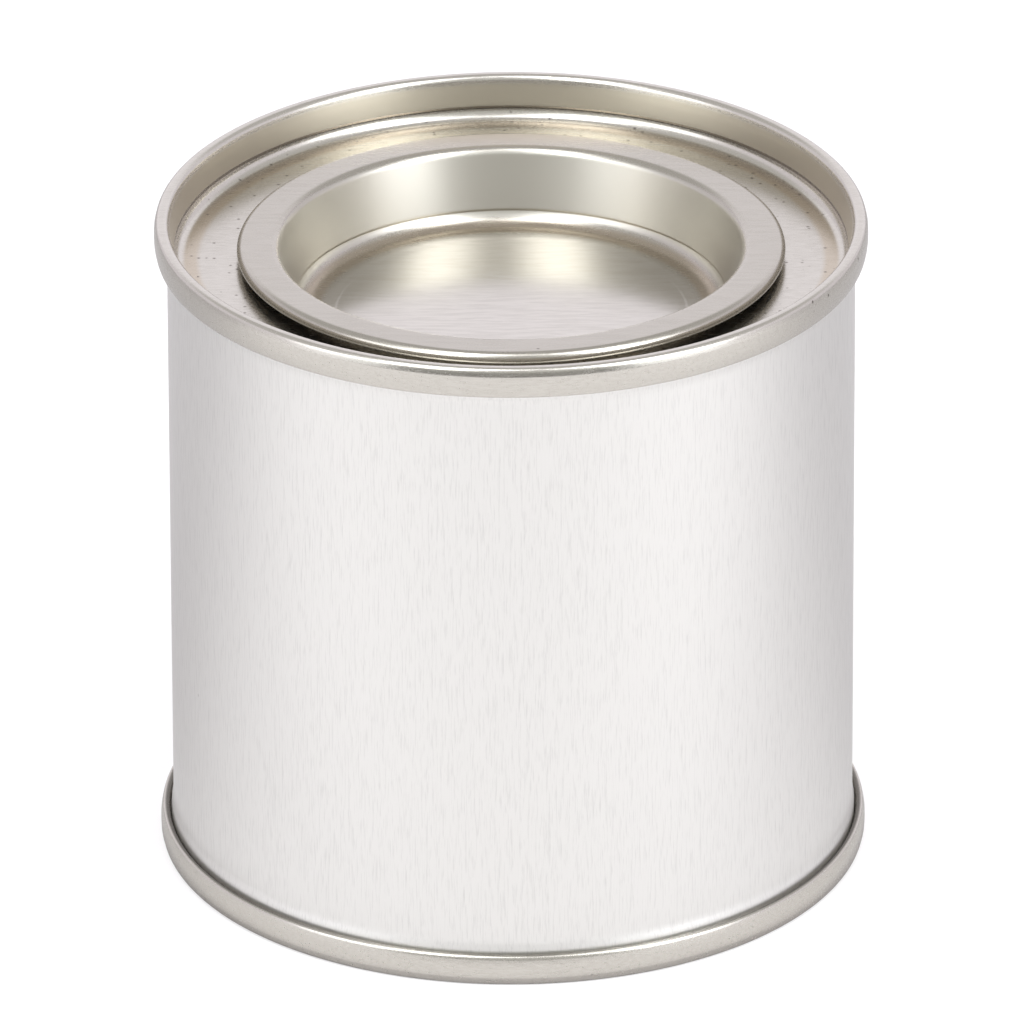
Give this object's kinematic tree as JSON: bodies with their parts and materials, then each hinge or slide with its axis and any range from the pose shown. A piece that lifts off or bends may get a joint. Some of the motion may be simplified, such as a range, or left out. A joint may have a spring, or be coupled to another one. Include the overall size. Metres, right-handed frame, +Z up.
{
  "type": "lever lid tin",
  "caption": "Small round tinplate tin with double-seamed ends and a press-in lever lid that has a cupped centre and a curled edge.",
  "frame": {"origin": "centre of the tin's foot, where its axis meets the surface that it stands on", "axes": "+Z up along the tin's axis; the side weld is at +Y, the back"},
  "size_m": [0.065, 0.065, 0.062],
  "materials": {
    "wall_tinplate": "satin tinplate with fine upright rolling marks",
    "end_tinplate": "satin tinplate, slightly speckled",
    "lid_tinplate": "satin tinplate with straight rolling marks"
  },
  "bodies": {
    "tin": {"body_wall": "wall_tinplate", "lever_ring": "end_tinplate", "base_end": "end_tinplate"},
    "lid": {"plug_lid": "lid_tinplate"}
  },
  "joints": [
    {"name": "lid_lift", "type": "slide", "parent": "tin", "child": "lid", "axis": [0, 0, 1], "range_m": [0, 0.04]}
  ]
}
